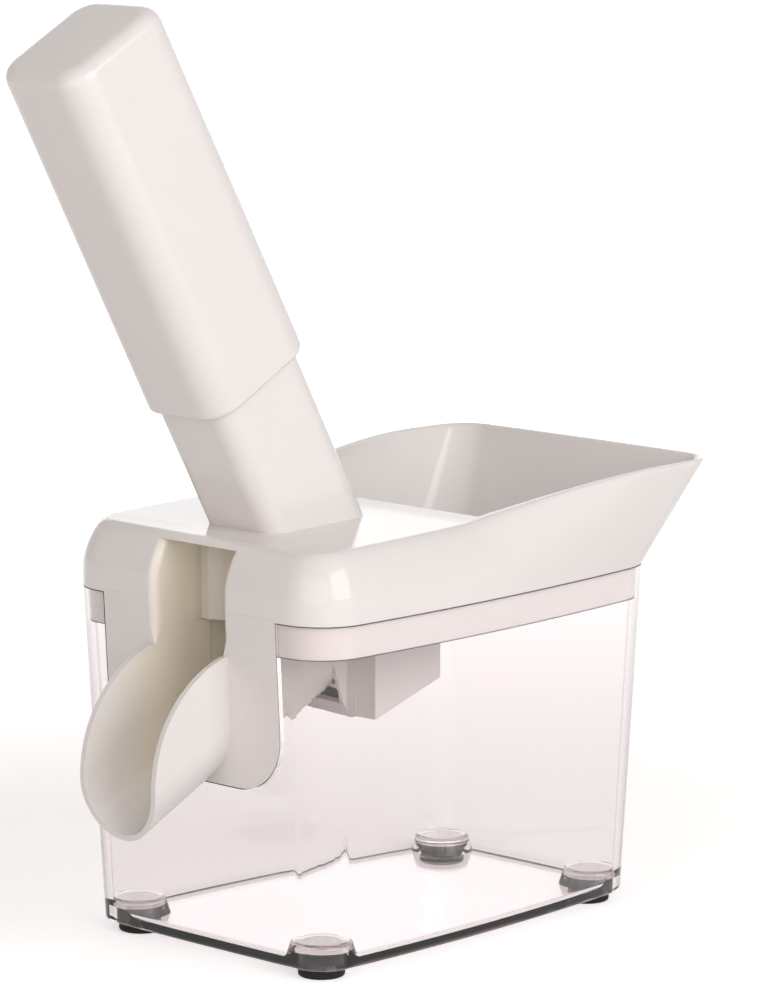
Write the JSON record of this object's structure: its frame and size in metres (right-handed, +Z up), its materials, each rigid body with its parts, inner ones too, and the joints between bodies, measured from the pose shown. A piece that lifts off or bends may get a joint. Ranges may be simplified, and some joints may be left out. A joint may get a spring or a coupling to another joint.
{
  "type": "cherry pitter",
  "caption": "Table-top cherry pitter: a clear pit container under a lift-off white head with hopper, chute and spout, and a slanting spring-loaded push handle that drives a pitting needle.",
  "frame": {"origin": "on the table, under the middle of the object's overall width and length", "axes": "+Z up; -Y is the front, where the spout points and the handle leans; +X is on the right of a viewer who faces +Y"},
  "size_m": [0.1126, 0.2344, 0.2858],
  "materials": {
    "white_plastic": "glossy warm white moulded plastic",
    "clear_plastic": "clear moulded plastic with a faint grey tint",
    "charcoal_rubber": "matt charcoal rubber",
    "steel": "stainless steel"
  },
  "bodies": {
    "base": {"pit_container": "clear_plastic", "foot_front_left": "charcoal_rubber", "foot_front_right": "charcoal_rubber", "foot_rear_left": "charcoal_rubber", "foot_rear_right": "charcoal_rubber"},
    "head": {"head_shell": "white_plastic", "spout": "white_plastic", "feed_tray": "white_plastic", "tray_screws": "steel", "cherry_seat": "charcoal_rubber", "seat_frame": "white_plastic", "seat_screws": "steel", "guide_stem": "white_plastic", "stripper": "white_plastic", "stem_screws": "steel", "guide_bush": "white_plastic"},
    "plunger": {"handle_sleeve": "white_plastic", "plunger_rod": "steel", "rod_pin": "steel", "spring_cap": "steel", "return_spring": "steel", "stop_clip": "steel", "needle_holder": "steel", "needle": "steel", "needle_set_screw": "steel"}
  },
  "joints": [
    {"name": "head_lift", "type": "slide", "parent": "base", "child": "head", "axis": [0, 0, 1], "range_m": [0, 0.07]},
    {"name": "handle_press", "type": "slide", "parent": "head", "child": "plunger", "axis": [0, -0.4848, 0.8746], "range_m": [-0.036, 0], "stiffness_N_per_m": 300, "springref_m": 0.02, "deforming": ["return_spring"]}
  ]
}
